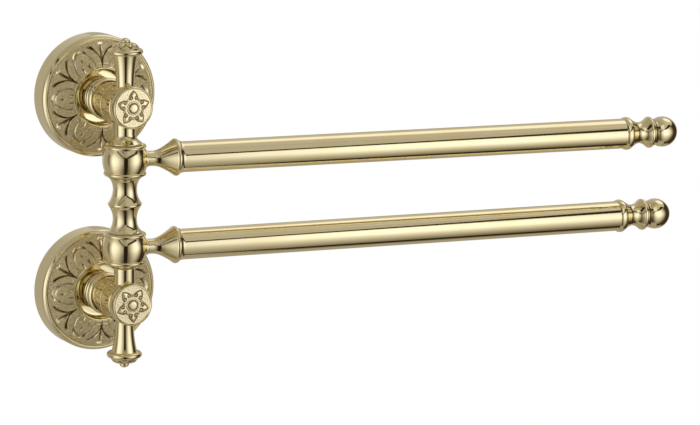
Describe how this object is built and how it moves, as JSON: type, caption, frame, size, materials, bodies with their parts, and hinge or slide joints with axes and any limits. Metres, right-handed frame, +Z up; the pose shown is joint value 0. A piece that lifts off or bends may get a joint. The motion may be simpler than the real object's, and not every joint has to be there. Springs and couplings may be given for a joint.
{
  "type": "swing arm towel bar",
  "caption": "Wall-mounted towel holder with round bars that swing on a vertical spindle held between ornamented rosette posts, each bar tipped with a ball.",
  "frame": {"origin": "on the wall plane, halfway between the two rosettes, which is the centre of the wall screws' pattern", "axes": "+Z up, +X to the right along the wall as seen from the room, +Y into the wall"},
  "size_m": [0.339, 0.0883, 0.1714],
  "materials": {
    "polished_brass": "mirror-polished pale gold",
    "steel": "zinc-plated",
    "nylon": "natural"
  },
  "bodies": {
    "wall_frame": {"upper_wall_plate": "steel", "upper_rosette": "polished_brass", "upper_grub_screw": "steel", "upper_post_screw": "steel", "upper_post_base": "polished_brass", "upper_post_sleeve": "polished_brass", "upper_hub": "polished_brass", "upper_hub_cap": "polished_brass", "lower_wall_plate": "steel", "lower_rosette": "polished_brass", "lower_grub_screw": "steel", "lower_post_screw": "steel", "lower_post_base": "polished_brass", "lower_post_sleeve": "polished_brass", "lower_hub": "polished_brass", "lower_hub_cap": "polished_brass", "spindle_rod": "steel", "top_finial": "polished_brass", "top_finial_cap": "polished_brass", "bottom_finial": "polished_brass", "bottom_finial_cap": "polished_brass", "upper_neck": "polished_brass", "lower_neck": "polished_brass", "baluster": "polished_brass", "friction_washers": "nylon"},
    "upper_arm": {"upper_arm_barrel": "polished_brass", "upper_arm_barrel_bush": "nylon", "upper_arm_ferrule": "polished_brass", "upper_arm_root_stud": "steel", "upper_arm_root_plug": "polished_brass", "upper_arm_tube": "polished_brass", "upper_arm_end_plug": "polished_brass", "upper_arm_end_collar": "polished_brass", "upper_arm_end_stud": "steel", "upper_arm_end_ball": "polished_brass"},
    "lower_arm": {"lower_arm_barrel": "polished_brass", "lower_arm_barrel_bush": "nylon", "lower_arm_ferrule": "polished_brass", "lower_arm_root_stud": "steel", "lower_arm_root_plug": "polished_brass", "lower_arm_tube": "polished_brass", "lower_arm_end_plug": "polished_brass", "lower_arm_end_collar": "polished_brass", "lower_arm_end_stud": "steel", "lower_arm_end_ball": "polished_brass"}
  },
  "joints": [
    {"name": "upper_arm_swing", "type": "hinge", "parent": "wall_frame", "child": "upper_arm", "pos_m": [0, -0.0425, 0.0229], "axis": [0, 0, 1], "range_deg": [-178.8, 13.2]},
    {"name": "lower_arm_swing", "type": "hinge", "parent": "wall_frame", "child": "lower_arm", "pos_m": [0, -0.0425, -0.0229], "axis": [0, 0, 1], "range_deg": [-180, 12]}
  ]
}
